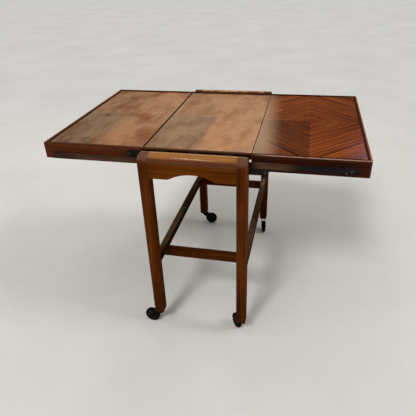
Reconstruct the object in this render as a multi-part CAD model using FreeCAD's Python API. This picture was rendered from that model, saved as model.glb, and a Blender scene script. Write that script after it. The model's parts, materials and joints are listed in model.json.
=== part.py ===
import FreeCAD
import Part
import math
import os
from FreeCAD import Vector

# Drop leaf tea trolley.  Millimetres, +Z up, X across the open leaves, Y along the trolley.
# Origin: on the floor, under the middle of the table.  The front end is at -Y.

# ------------------------------------------------------------------ driving sizes
table_height = 720.0
frame_width = 350.0          # over the legs, left to right
frame_length = 790.0         # over the legs, front to rear

leg_width = 34.0             # along X
leg_depth = 39.0             # along Y, also the thickness of the top rails
leg_arris = 1.5              # flat worked on the legs' long edges
shoulder_radius = 13.0       # rounding of the frame's top corners, seen from the front
bullnose_radius = 19.5       # rounding of the frame's outer top edge

top_rail_height = 78.0
arch_rise = 21.0
arch_half_width = 75.0
arch_heel_radius = 40.0      # hollow part of the ogee where the arch springs

low_rail_width = 24.0
low_rail_height = 29.0
stretcher_depth = 32.0       # along Y
stretcher_height = 27.0
stretcher_inset = 85.0       # from the ends of the frame to the outer faces of the cross stretchers
edge_arris = 1.5             # flat worked on the other edges

tenon_thickness = 10.0
tenon_length = 18.0
tenon_shoulder = 6.0         # how far a tenon stands back from the rail's edges
stretcher_tenon_length = 12.0
tenon_side_gap = 0.1
tenon_end_gap = 0.5

end_gap = 19.0               # between the panels and the end frames, where the arms swing
centre_width = 354.0
leaf_width = 353.0
leaf_depth = 54.5
shut_gap = 1.0               # between the centre panel and each leaf
rim_width = 12.0
rim_height = 3.0             # how far the rim stands above the boards
board_thickness = 15.0
leaf_rail_width = 18.0
leaf_corner_radius = 6.0
rim_arris = 2.0              # flat worked on the rims' outer top edge
board_gap = 0.1              # play of a board inside its rim
batten_width = 40.0
batten_height = 20.0
bearer_x = 120.0             # middles of the two bearers under the centre board
bearer_width = 22.0
bearer_height = 34.0

strap_places = (-110.0, 0.0, 110.0)
strap_width = 30.0
strap_thickness = 3.0
strap_drop = 3.0             # depth of the straps' top below the table top
strap_in_frame = 22.0
strap_in_panel = 9.0
strap_gap = 0.1

# Swinging arms.  Pivots are placed from the leaf's inner edge and below the table top.
right_drop = 359.5           # how far the right leaf comes down when it is stowed
stow_gap = 1.0               # between stacked leaves, and above the low rails
arm_width = 20.0
arm_thickness = 3.0
arm_corner = 6.0             # cut off the corners of the arms
arm_first_layer = 2.0        # from the inner face of the end frame to the first layer of arms
arm_layer_pitch = 5.0
arm_tail = 15.0              # how far an outer arm runs on past its leaf pivot
outer_pivot_reach = 296.0
right_inner_pivot_reach = 46.0
left_inner_pivot_reach = 39.5
right_outer_pivot_depth = 29.0
right_inner_pivot_depth = 50.5
left_outer_pivot_depth = 39.5
left_inner_pivot_depth = 17.5

stud_radius = 4.0
stud_running_gap = 0.05
open_pivot_gap = 0.35        # extra play at the inner arms' leaf pivots
stud_collar_radius = 5.5     # to the corners of the hexagon
stud_head_radius = 6.5       # to the corners of the hexagon
stud_head_height = 1.5
face_gap = 0.1               # between an arm and the stud's head or collar
plate_thickness = 3.0
plate_reach = 36.0           # from a leaf pivot to the far end of its plate
plate_corner = 3.0           # cut off the corners of the pivot plates

# Castors
wheel_diameter = 58.0
wheel_width = 16.0
castor_trail = 38.0
castor_headings = {"front_left": 176.0, "front_right": 125.0, "rear_left": 3.0, "rear_right": 280.0}
crown_over_wheel = 1.0
crown_thickness = 2.8
crown_back = 13.0            # from the swivel axis to the back edge of the crown
crown_front = 13.0
crown_corner = 6.0           # cut off the crown's back corners
swivel_gap = 0.4
castor_plate_thickness = 2.5
castor_plate_width = 30.0    # along X
castor_plate_length = 35.0   # along Y
castor_plate_corner = 4.0    # cut off the corners of the castor plates
cheek_thickness = 2.0
cheek_gap = 0.5              # between the wheel and a cheek
cheek_end_radius = 9.0
cheek_end_flats = 5          # the cheeks are rounded off below in this many flats
king_pin_radius = 4.0
king_pin_end_gap = 0.3       # between the end of the king pin and the leg
axle_radius = 3.0
axle_fixed_gap = 0.03
axle_proud = 1.0             # how far the riveted axle stands out of each cheek

# ------------------------------------------------------------------ worked out from them
leg_x = (frame_width - leg_width) / 2
leg_y = (frame_length - leg_depth) / 2
leg_inner_x = frame_width / 2 - leg_width
frame_inner_y = frame_length / 2 - leg_depth
panel_end_y = frame_inner_y - end_gap
stretcher_y = frame_length / 2 - stretcher_inset - stretcher_depth / 2
leg_bottom = (wheel_diameter + crown_over_wheel + crown_thickness
              + swivel_gap + castor_plate_thickness)
board_top = table_height - rim_height
board_bottom = board_top - board_thickness
leaf_bottom = table_height - leaf_depth
leaf_inner_x = centre_width / 2 + shut_gap
leaf_shift = leaf_inner_x + leaf_width / 2
low_rail_top = leaf_bottom - right_drop - stow_gap
left_drop = right_drop - leaf_depth - stow_gap

cut_past = 1.0               # how far a cut runs past the face that it opens
same_place = 1e-3            # coordinates this near count as one


def arm_length(drop):
    """Length of an arm that moves a leaf sideways by leaf_shift while it lowers it by drop."""
    return (leaf_shift ** 2 + drop ** 2) / (2 * leaf_shift)


right_arm_length = arm_length(right_drop)
left_arm_length = arm_length(left_drop)

# name: side of the leaf, layer in the gap, leaf pivot's reach and depth, arm length, tail,
# play at the leaf pivot
arms = {
    "right_outer": (1, 0, outer_pivot_reach, right_outer_pivot_depth, right_arm_length, arm_tail, 0.0),
    "right_inner": (1, 0, right_inner_pivot_reach, right_inner_pivot_depth, right_arm_length, 0.0,
                    open_pivot_gap),
    "left_outer": (-1, 1, outer_pivot_reach, left_outer_pivot_depth, left_arm_length, arm_tail, 0.0),
    "left_inner": (-1, 2, left_inner_pivot_reach, left_inner_pivot_depth, left_arm_length, 0.0,
                   open_pivot_gap),
}
end_signs = {"front": -1, "rear": 1}
side_signs = {"left": -1, "right": 1}


# ------------------------------------------------------------------ plain helpers
def box(x0, x1, y0, y1, z0, z1):
    """A box between two limits on each axis, whichever way round they are given."""
    low = Vector(min(x0, x1), min(y0, y1), min(z0, z1))
    return Part.makeBox(abs(x1 - x0), abs(y1 - y0), abs(z1 - z0), low)


def cylinder(radius, start, along):
    """A cylinder from a point along a vector of its own length."""
    return Part.makeCylinder(radius, along.Length, start, along)


def outline(start, steps):
    """A closed flat face: each step is one end point, or a middle and an end point of an arc."""
    edges = []
    here = start
    for step in steps:
        if isinstance(step, tuple):
            edges.append(Part.Arc(here, step[0], step[1]).toShape())
            here = step[1]
        else:
            edges.append(Part.makeLine(here, step))
            here = step
    if (here - start).Length > same_place:
        edges.append(Part.makeLine(here, start))
    return Part.Face(Part.Wire(edges))


def rounded_plan(x0, x1, y0, y1, z, radii):
    """A rectangle at height z with its own radius at each corner, anticlockwise from low x, low y."""
    corners = [(x0, y0, 1, 1), (x1, y0, -1, 1), (x1, y1, -1, -1), (x0, y1, 1, -1)]
    points = []
    for index, (x, y, sx, sy) in enumerate(corners):
        radius = radii[index]
        on_x = Vector(x + sx * radius, y, z)
        on_y = Vector(x, y + sy * radius, z)
        bulge = radius * (1 - math.sqrt(0.5))
        middle = Vector(x + sx * bulge, y + sy * bulge, z)
        entry, leave = (on_y, on_x) if index % 2 == 0 else (on_x, on_y)
        points.append((entry, middle, leave, radius))
    steps = []
    for entry, middle, leave, radius in points:
        if radius > 0:
            steps.append(entry)
            steps.append((middle, leave))
        else:
            steps.append(entry)
    first = steps.pop(0)
    return outline(first, steps)


def clipped_face(middle, along, across, corner):
    """A rectangle with its four corners cut off, from its middle and two half sides."""
    short_along = along * (1 - corner / along.Length)
    short_across = across * (1 - corner / across.Length)
    steps = [(along, short_across), (short_along, across), (short_along * -1, across),
             (along * -1, short_across), (along * -1, short_across * -1),
             (short_along * -1, across * -1), (short_along, across * -1), (along, short_across * -1)]
    points = [middle + a + b for a, b in steps]
    return Part.Face(Part.makePolygon(points + [points[0]]))


def hexagon(corner_radius, start, along):
    """A hexagonal bar along Y, its corners on a circle of a given radius."""
    points = []
    for corner in range(6):
        turn = math.radians(60 * corner)
        points.append(start + Vector(math.sin(turn), 0, math.cos(turn)) * corner_radius)
    return Part.Face(Part.makePolygon(points + [points[0]])).extrude(along)


def group(solids):
    """Several separate solids of one node."""
    return Part.makeCompound(solids)


# ------------------------------------------------------------------ end frames
def end_section(sign):
    """Section of an end frame in YZ with its bullnose, wide enough in X to cut any piece of it."""
    outer = sign * frame_length / 2
    inner = sign * frame_inner_y
    nose = bullnose_radius
    bulge = nose * (1 - math.sqrt(0.5))
    x = -frame_width
    face = outline(Vector(x, outer, 0), [
        Vector(x, outer, table_height - nose),
        (Vector(x, outer - sign * bulge, table_height - bulge),
         Vector(x, outer - sign * nose, table_height)),
        Vector(x, inner + sign * edge_arris, table_height),
        Vector(x, inner, table_height - edge_arris),
        Vector(x, inner, 0),
    ])
    return face.extrude(Vector(2 * frame_width, 0, 0))


def shoulder_section(side):
    """Front view of one leg with its rounded shoulder, long enough in Y to cut either end."""
    outer = side * frame_width / 2
    inner = side * leg_inner_x
    bulge = shoulder_radius * (1 - math.sqrt(0.5))
    y = -frame_length
    face = outline(Vector(inner, y, leg_bottom), [
        Vector(outer, y, leg_bottom),
        Vector(outer, y, table_height - shoulder_radius),
        (Vector(outer - side * bulge, y, table_height - bulge),
         Vector(outer - side * shoulder_radius, y, table_height)),
        Vector(inner, y, table_height),
    ])
    return face.extrude(Vector(0, 2 * frame_length, 0))


def rail_tenon(side, sign, extra_side, extra_end):
    """Tenon of a top rail in a leg, or its mortise when the extras are the gaps."""
    half = tenon_thickness / 2 + extra_side
    low = table_height - top_rail_height + tenon_shoulder - extra_side
    high = table_height - bullnose_radius + extra_side
    return box(side * leg_inner_x, side * (leg_inner_x + tenon_length + extra_end),
               sign * leg_y - half, sign * leg_y + half, low, high)


def low_rail_tenon(side, sign, extra_side, extra_end):
    """Tenon of a low rail in a leg, or its mortise."""
    half = tenon_thickness / 2 + extra_side
    low = low_rail_top - low_rail_height + tenon_shoulder - extra_side
    high = low_rail_top - tenon_shoulder + extra_side
    return box(side * leg_x - half, side * leg_x + half,
               sign * frame_inner_y, sign * (frame_inner_y + tenon_length + extra_end), low, high)


def stretcher_tenon(side, sign, extra_side, extra_end):
    """Tenon of a cross stretcher in a low rail, or its mortise."""
    middle = sign * stretcher_y
    half = tenon_thickness / 2 + extra_side
    start = leg_x - low_rail_width / 2
    low = low_rail_top - stretcher_height + tenon_shoulder - extra_side
    high = low_rail_top - tenon_shoulder + extra_side
    return box(side * start, side * (start + stretcher_tenon_length + extra_end),
               middle - half, middle + half, low, high)


def frame_pivot(name):
    """X and Z of an arm's pivot on the end frames."""
    side, _layer, reach, depth, length, _tail, _play = arms[name]
    return side * (leaf_inner_x + reach - length), table_height - depth


def layer_start(name):
    """Distance from the end frame's inner face to the near face of an arm."""
    return arm_first_layer + arms[name][1] * arm_layer_pitch


def strap_slot(place, sign, gap):
    """Room for a strap that carries the centre panel, or the strap itself when gap is 0."""
    high = table_height - strap_drop
    return box(place - strap_width / 2 - gap, place + strap_width / 2 + gap,
               sign * (panel_end_y - strap_in_panel - gap), sign * (frame_inner_y + strap_in_frame + gap),
               high - strap_thickness - gap, high + gap)


def make_leg(side, sign):
    middle = Vector(side * leg_x, sign * leg_y, leg_bottom)
    plan = clipped_face(middle, Vector(leg_width / 2, 0, 0), Vector(0, leg_depth / 2, 0), leg_arris)
    leg = plan.extrude(Vector(0, 0, table_height - leg_bottom))
    leg = leg.common(shoulder_section(side)).common(end_section(sign))
    leg = leg.cut(rail_tenon(side, sign, tenon_side_gap, tenon_end_gap))
    return leg.cut(low_rail_tenon(side, sign, tenon_side_gap, tenon_end_gap))


def arch_outline(y):
    """Front view of a top rail, its lower edge an arch that springs from two hollow heels."""
    base = table_height - top_rail_height
    turn = 2 * math.atan(arch_rise / arch_half_width)
    crown_arc = arch_half_width / math.sin(turn) - arch_heel_radius
    join_x = arch_half_width - arch_heel_radius * math.sin(turn)
    join_z = base + arch_heel_radius * (1 - math.cos(turn))

    def heel(side):
        x = side * (arch_half_width - arch_heel_radius * math.sin(turn / 2))
        return Vector(x, y, base + arch_heel_radius * (1 - math.cos(turn / 2)))

    def crown(side):
        x = side * crown_arc * math.sin(turn / 2)
        return Vector(x, y, base + arch_rise - crown_arc * (1 - math.cos(turn / 2)))

    top = Vector(0, y, base + arch_rise)
    return outline(Vector(-leg_inner_x, y, base), [
        Vector(-arch_half_width, y, base),
        (heel(-1), Vector(-join_x, y, join_z)),
        (crown(-1), top),
        (crown(1), Vector(join_x, y, join_z)),
        (heel(1), Vector(arch_half_width, y, base)),
        Vector(leg_inner_x, y, base),
        Vector(leg_inner_x, y, table_height),
        Vector(-leg_inner_x, y, table_height),
    ])


def make_top_rail(sign):
    rail = arch_outline(-frame_length).extrude(Vector(0, 2 * frame_length, 0))
    rail = rail.common(end_section(sign))
    for side in side_signs.values():
        rail = rail.fuse(rail_tenon(side, sign, 0, 0))
    for place in strap_places:
        rail = rail.cut(strap_slot(place, sign, strap_gap))
    return rail.removeSplitter()


def make_low_rail(side):
    end = Vector(side * leg_x, -frame_inner_y, low_rail_top - low_rail_height / 2)
    half_width = Vector(low_rail_width / 2, 0, 0)
    half_height = Vector(0, 0, low_rail_height / 2)
    section = clipped_face(end, half_width, half_height, edge_arris)
    bar = section.extrude(Vector(0, 2 * frame_inner_y, 0))
    for sign in end_signs.values():
        bar = bar.fuse(low_rail_tenon(side, sign, 0, 0))
        bar = bar.cut(stretcher_tenon(side, sign, tenon_side_gap, tenon_end_gap))
    return bar


def make_stretcher(sign):
    half_span = leg_x - low_rail_width / 2
    end = Vector(-half_span, sign * stretcher_y, low_rail_top - stretcher_height / 2)
    half_depth = Vector(0, stretcher_depth / 2, 0)
    half_height = Vector(0, 0, stretcher_height / 2)
    section = clipped_face(end, half_depth, half_height, edge_arris)
    bar = section.extrude(Vector(2 * half_span, 0, 0))
    for side in side_signs.values():
        bar = bar.fuse(stretcher_tenon(side, sign, 0, 0))
    return bar


# ------------------------------------------------------------------ centre panel
def make_centre_board():
    return box(-centre_width / 2, centre_width / 2,
               -panel_end_y + rim_width + board_gap, panel_end_y - rim_width - board_gap,
               board_bottom, board_top)


def make_centre_rim(sign):
    outer = sign * panel_end_y
    inner = sign * (panel_end_y - rim_width)
    rim = box(-centre_width / 2, centre_width / 2, outer, inner, board_bottom, table_height)
    top_edges = [edge for edge in rim.Edges
                 if edge.BoundBox.XLength > centre_width / 2
                 and edge.BoundBox.ZMin > table_height - same_place
                 and abs(edge.BoundBox.YMin - outer) < same_place]
    rim = rim.makeChamfer(rim_arris, top_edges)
    for place in strap_places:
        rim = rim.cut(strap_slot(place, sign, strap_gap))
    return rim


def make_centre_bearer(side):
    half = bearer_width / 2
    return box(side * (bearer_x - half), side * (bearer_x + half),
               -panel_end_y, panel_end_y, board_bottom - bearer_height, board_bottom)


def make_straps():
    return group([strap_slot(place, sign, 0.0) for sign in end_signs.values() for place in strap_places])


# ------------------------------------------------------------------ leaves
def leaf_ring():
    """The four edge rails of a leaf in one, rim and rebate included, with its inner edge at x = 0."""
    half = panel_end_y
    round_ends = [0.0, leaf_corner_radius, leaf_corner_radius, 0.0]
    plan = rounded_plan(0, leaf_width, -half, half, leaf_bottom, round_ends)
    body = plan.extrude(Vector(0, 0, leaf_depth))
    outside_top = [edge for edge in body.Edges
                   if edge.BoundBox.ZMin > table_height - same_place and edge.BoundBox.XMax > same_place]
    body = body.makeChamfer(rim_arris, outside_top)
    above = box(-cut_past, leaf_width - rim_width, -half + rim_width, half - rim_width,
                board_bottom, table_height + cut_past)
    below = box(leaf_rail_width, leaf_width - leaf_rail_width,
                -half + leaf_rail_width, half - leaf_rail_width, leaf_bottom - cut_past, board_bottom)
    return body.cut(above).cut(below)


def leaf_piece_plan(name):
    """Plan of the part of the ring that one rail takes: mitred outside, butted at the inner rail."""
    wide = leaf_rail_width
    x0, x1 = -cut_past, leaf_width + cut_past
    y0, y1 = -panel_end_y - cut_past, -panel_end_y + wide
    ends = {
        "front_rail": [(x0, y0), (x1, y0), (leaf_width - wide, y1), (x0, y1)],
        "outer_rail": [(x1, y0), (x1, -y0), (leaf_width - wide, -y1), (leaf_width - wide, y1)],
        "inner_rail": [(x0, y1), (wide, y1), (wide, -y1), (x0, -y1)],
    }
    ends["rear_rail"] = [(x, -y) for x, y in ends["front_rail"]]
    points = [Vector(x, y, leaf_bottom - cut_past) for x, y in ends[name]]
    plan = Part.Face(Part.makePolygon(points + [points[0]]))
    return plan.extrude(Vector(0, 0, leaf_depth + 2 * cut_past))


def place_leaf(shape, side):
    """Move a leaf piece from its own frame to the right side, or mirror it to the left."""
    shape.translate(Vector(leaf_inner_x, 0, 0))
    if side < 0:
        shape = shape.mirror(Vector(0, 0, 0), Vector(1, 0, 0))
    return shape


def leaf_arm_names(side):
    return [name for name in arms if arms[name][0] == side]


def leaf_pivot(name):
    """X and Z of an arm's pivot on its leaf."""
    side, _layer, reach, depth, _length, _tail, _play = arms[name]
    return side * (leaf_inner_x + reach), table_height - depth


def plate_direction(name):
    """Which way a pivot plate runs on from its stud: up on the low inner pivot, else inboard."""
    if name == "right_inner":
        return Vector(0, 0, 1)
    return Vector(-arms[name][0], 0, 0)


def make_leaf_rail(name, side):
    rail = leaf_ring().common(leaf_piece_plan(name))
    return place_leaf(rail, side)


def make_leaf_board(side):
    half = panel_end_y - rim_width - board_gap
    board = box(0, leaf_width - rim_width - board_gap, -half, half, board_bottom, board_top)
    return place_leaf(board, side)


def make_leaf_batten(side):
    batten = box(leaf_rail_width, leaf_width - leaf_rail_width, -batten_width / 2, batten_width / 2,
                 board_bottom - batten_height, board_bottom)
    return place_leaf(batten, side)


# ------------------------------------------------------------------ arms, studs and plates
def make_arm(name, sign):
    side, _layer, _reach, _depth, length, tail, play = arms[name]
    frame_x, z = frame_pivot(name)
    leaf_x, _z = leaf_pivot(name)
    near = sign * (frame_inner_y - layer_start(name))
    through = Vector(0, -sign * arm_thickness, 0)
    middle = Vector(frame_x + side * (length + tail) / 2, near, z)
    half_length = Vector((length + tail + arm_width) / 2, 0, 0)
    bar = clipped_face(middle, half_length, Vector(0, 0, arm_width / 2), arm_corner).extrude(through)
    for x, gap in ((frame_x, stud_running_gap), (leaf_x, stud_running_gap + play)):
        bar = bar.cut(cylinder(stud_radius + gap, Vector(x, near, z), through))
    return bar


def make_stud(start, out, arm_near):
    """Pivot stud on a face: hexagon collar up to the arm, shank through it, and a hexagon head."""
    head = arm_near + arm_thickness + face_gap
    collar = hexagon(stud_collar_radius, start, out * (arm_near - face_gap))
    shank = cylinder(stud_radius, start, out * head)
    cap = hexagon(stud_head_radius, start + out * head, out * stud_head_height)
    return collar.fuse(shank).fuse(cap).removeSplitter()


def make_frame_stud(name, sign):
    """Stud in the end frame.  Its screwed root isn't modelled."""
    x, z = frame_pivot(name)
    return make_stud(Vector(x, sign * frame_inner_y, z), Vector(0, -sign, 0), layer_start(name))


def make_leaf_stud(name, sign):
    """Stud riveted to its plate on the leaf.  The riveted root isn't modelled."""
    x, z = leaf_pivot(name)
    start = panel_end_y + plate_thickness
    arm_near = end_gap - layer_start(name) - arm_thickness - plate_thickness
    return make_stud(Vector(x, sign * start, z), Vector(0, sign, 0), arm_near)


def make_pivot_plate(name, sign):
    """Plate on the end of a leaf, from round its stud to its far end, with cut corners."""
    x, z = leaf_pivot(name)
    half = arm_width / 2
    way = plate_direction(name)
    middle = Vector(x, sign * panel_end_y, z) + way * ((plate_reach - half) / 2)
    across = Vector(way.z, 0, way.x) * half
    plate = clipped_face(middle, way * ((plate_reach + half) / 2), across, plate_corner)
    return plate.extrude(Vector(0, sign * plate_thickness, 0))


# ------------------------------------------------------------------ castors
def castor_place(end, side_name):
    """Middle of a leg, where its castor swivels."""
    return side_signs[side_name] * leg_x, end_signs[end] * leg_y


def make_castor_plate(x, y):
    low = Vector(x, y, leg_bottom - castor_plate_thickness)
    up = Vector(0, 0, castor_plate_thickness)
    half_x = Vector(castor_plate_width / 2, 0, 0)
    half_y = Vector(0, castor_plate_length / 2, 0)
    plate = clipped_face(low, half_x, half_y, castor_plate_corner).extrude(up)
    return plate.cut(cylinder(king_pin_radius + stud_running_gap, low, up))


def tangent_angle(near, centre, radius, turn):
    """Angle in XZ at which the tangent from a point touches a circle, on the side given by turn."""
    gap = near - centre
    return math.atan2(gap.z, gap.x) + turn * math.acos(radius / gap.Length)


def make_fork():
    """Horn of a castor with its king pin, trailing towards +X from a swivel axis at the origin."""
    crown_top = leg_bottom - castor_plate_thickness - swivel_gap
    crown_low = crown_top - crown_thickness
    inner = wheel_width / 2 + cheek_gap
    outer = inner + cheek_thickness
    axle = Vector(castor_trail, -outer, wheel_diameter / 2)
    top_back = Vector(-crown_back, -outer, crown_top)
    low_back = Vector(-crown_back, -outer, crown_low)
    front = Vector(crown_front, -outer, crown_top)
    upper = tangent_angle(front, axle, cheek_end_radius, -1)
    lower = tangent_angle(low_back, axle, cheek_end_radius, 1) - 2 * math.pi
    points = [low_back, top_back, front]
    for step in range(cheek_end_flats + 1):
        angle = upper + (lower - upper) * step / cheek_end_flats
        points.append(axle + Vector(math.cos(angle), 0, math.sin(angle)) * cheek_end_radius)
    across = Vector(0, 2 * outer, 0)
    cheeks = Part.Face(Part.makePolygon(points + [points[0]])).extrude(across)
    slot = box(-2 * crown_back, 2 * castor_trail, -inner, inner, 0, crown_low)
    fork = cheeks.cut(slot).cut(cylinder(axle_radius + axle_fixed_gap, axle, across))
    middle = Vector(castor_trail, 0, 0)
    plan = clipped_face(middle, Vector(castor_trail + crown_back, 0, 0), Vector(0, outer, 0), crown_corner)
    fork = fork.common(plan.extrude(Vector(0, 0, crown_top)))
    pin_length = leg_bottom - king_pin_end_gap - crown_low
    pin = cylinder(king_pin_radius, Vector(0, 0, crown_low), Vector(0, 0, pin_length))
    return fork.fuse(pin).removeSplitter()


def make_axle():
    """Axle through the wheel and both cheeks."""
    half = wheel_width / 2 + cheek_gap + cheek_thickness + axle_proud
    return cylinder(axle_radius, Vector(castor_trail, -half, wheel_diameter / 2), Vector(0, 2 * half, 0))


def make_wheel():
    """Solid disc wheel with a bore that turns on the axle."""
    face = Vector(castor_trail, -wheel_width / 2, wheel_diameter / 2)
    across = Vector(0, wheel_width, 0)
    tyre = cylinder(wheel_diameter / 2, face, across)
    return tyre.cut(cylinder(axle_radius + stud_running_gap, face, across))


def turned(shape, x, y, heading):
    """Turn a castor piece to its heading and set it under its leg."""
    shape = shape.copy()
    shape.rotate(Vector(0, 0, 0), Vector(0, 0, 1), heading)
    shape.translate(Vector(x, y, 0))
    return shape


# ------------------------------------------------------------------ all the pieces
def build():
    pieces = {}
    for end, sign in end_signs.items():
        for side_name, side in side_signs.items():
            pieces[end + "_" + side_name + "_leg"] = make_leg(side, sign)
        pieces[end + "_top_rail"] = make_top_rail(sign)
        pieces[end + "_cross_stretcher"] = make_stretcher(sign)
        pieces["centre_" + end + "_rim"] = make_centre_rim(sign)
        pieces["frame_pivot_studs_" + end] = group([make_frame_stud(name, sign) for name in arms])
        for name in arms:
            pieces[name + "_arm_" + end] = make_arm(name, sign)

    pieces["centre_board"] = make_centre_board()
    pieces["centre_straps"] = make_straps()
    for side_name, side in side_signs.items():
        pieces[side_name + "_low_rail"] = make_low_rail(side)
        pieces["centre_" + side_name + "_bearer"] = make_centre_bearer(side)
        leaf = side_name + "_leaf_"
        pieces[leaf + "board"] = make_leaf_board(side)
        pieces[leaf + "batten"] = make_leaf_batten(side)
        for rail in ("front_rail", "rear_rail", "outer_rail", "inner_rail"):
            pieces[leaf + rail] = make_leaf_rail(rail, side)
        plates = []
        studs = []
        for sign in end_signs.values():
            for name in leaf_arm_names(side):
                plates.append(make_pivot_plate(name, sign))
                studs.append(make_leaf_stud(name, sign))
        pieces[leaf + "pivot_plates"] = group(plates)
        pieces[leaf + "pivot_studs"] = group(studs)

    plates = []
    for end in end_signs:
        for side_name in side_signs:
            x, y = castor_place(end, side_name)
            place = end + "_" + side_name
            heading = castor_headings[place]
            pieces[place + "_castor_fork"] = turned(make_fork(), x, y, heading)
            pieces[place + "_castor_axle"] = turned(make_axle(), x, y, heading)
            pieces[place + "_castor_wheel"] = turned(make_wheel(), x, y, heading)
            plates.append(make_castor_plate(x, y))
    pieces["castor_plates"] = group(plates)
    return pieces


os.makedirs("parts", exist_ok=True)
for node, shape in build().items():
    shape.exportStep("parts/" + node + ".step")
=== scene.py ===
"""Looks of a drop leaf tea trolley: polished woods, veneers, blackened steel and castors.

Metres throughout.  +Z is up, X runs across the open leaves and -Y is the front end frame.
"""

import json
import math

import bmesh
import bpy
from mathutils import Matrix, Vector


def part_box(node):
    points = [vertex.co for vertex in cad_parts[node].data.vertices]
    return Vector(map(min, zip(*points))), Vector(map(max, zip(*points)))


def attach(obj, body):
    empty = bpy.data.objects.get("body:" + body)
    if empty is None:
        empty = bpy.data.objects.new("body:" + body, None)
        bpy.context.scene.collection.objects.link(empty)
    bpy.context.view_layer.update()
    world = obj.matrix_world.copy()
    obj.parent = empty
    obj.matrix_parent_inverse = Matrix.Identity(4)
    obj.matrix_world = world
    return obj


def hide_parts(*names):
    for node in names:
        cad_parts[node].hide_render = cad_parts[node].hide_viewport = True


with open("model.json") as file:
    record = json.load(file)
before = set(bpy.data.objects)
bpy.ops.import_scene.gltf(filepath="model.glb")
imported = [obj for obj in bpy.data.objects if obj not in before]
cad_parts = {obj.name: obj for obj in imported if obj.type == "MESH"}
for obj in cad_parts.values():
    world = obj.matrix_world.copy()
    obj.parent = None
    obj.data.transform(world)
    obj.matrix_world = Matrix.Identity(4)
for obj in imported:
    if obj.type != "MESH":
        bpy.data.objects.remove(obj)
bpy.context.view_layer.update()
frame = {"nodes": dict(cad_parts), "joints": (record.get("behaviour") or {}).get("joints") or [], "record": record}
record = frame["record"]
body_of_node = {node: body for body, nodes in record["behaviour"]["bodies"].items()
                for node in nodes}
slot_of_node = {part["node"]: part["material_slot"] for part in record["subparts"]}

# -------------------- sizes
arris = 0.0006            # rounding of the polished wood's edges
joint_arris = 0.0004      # of edges that meet another piece
metal_arris = 0.0004
bar_corner = 0.0034       # rounding at the cut corners of the steel bars
plate_corner = 0.0018
cheek_corner = 0.0024
sharp_angle = math.radians(28)     # an edge that turns by more is rounded
smooth_angle = math.radians(32)    # a turn by more stays sharp to the light

arm_thickness = 0.003
face_gap = 0.0001
stud_radius = 0.004
stud_head_radius = 0.0064
stud_head_height = 0.0015
stud_collar_radius = 0.0052
plate_screw_reach = (0.023, 0.036)   # from the end of a pivot plate to its screws
plate_screw_head = (0.0032, 0.0006)  # radius and height
castor_screw_offset = (0.011, 0.0135)    # from a plate's middle
castor_screw_head = (0.0024, 0.00016)

axle_radius = 0.003
axle_half_length = 0.0115
axle_head_radius = 0.0042
axle_proud = 0.001
small_round, wheel_round = 28, 64    # sides of the turned pieces
wheel_disc_radius = 0.0206  # inside the wheel's raised tyre
half_wheel = [            # radius and distance from its middle plane, bore to tread
    (0.0031, -0.0080), (0.0068, -0.0080), (0.0074, -0.0074), (0.0080, -0.0052),
    (0.0200, -0.0046), (0.0212, -0.0052), (0.0220, -0.0074), (0.0232, -0.0080),
    (0.0252, -0.0079), (0.0271, -0.0071), (0.0284, -0.0056), (0.0290, -0.0036)]

veneer_middle = {"left": -0.3485, "centre": 0.0, "right": 0.3485}
matching_angle = math.radians(46)
half_open_width = 0.531
panel_end = 0.337
mark_height = 0.715       # just under the veneers' faces
rim_width = 0.012
shut_line = 0.1775        # middle of the gap between the centre panel and a leaf
brown_sheen_bands = (           # where the outer arms' brown bands start and end, right then left: partly rust, partly a painted reflection
    ((0.176, 0.215), (0.26, 0.33, 1.0, 0.0)),
    ((-0.46, -0.37, 0.3, 0.62), (-0.14, -0.10, 1.0, 0.0)))

nose_radius = 0.027       # rounding of the end frames' outer top edge
nose_margin = 0.004       # of flat wood below it
shoulder_radius = 0.008   # rounding of their top corners, seen from the front
leg_edge = 0.0018         # rounding of the legs' long edges
leg_top_arris = 0.0005
inner_edge = 0.003        # rounding of the end frames' inner top edge
foot_edge = 0.0025        # rounding around the legs' feet
rail_bottom = 0.642
rail_lower_edge = 0.0015
arch_half_width = 0.083
arch_rise = 0.021
arch_heel_radius = 0.026  # rounding where the arch of a top rail springs
arch_step, arch_steps = 0.0025, 33   # between the arch's sections, and how many a side
beside_arch = 0.115       # a section of the rail between its arch and the leg


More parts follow.
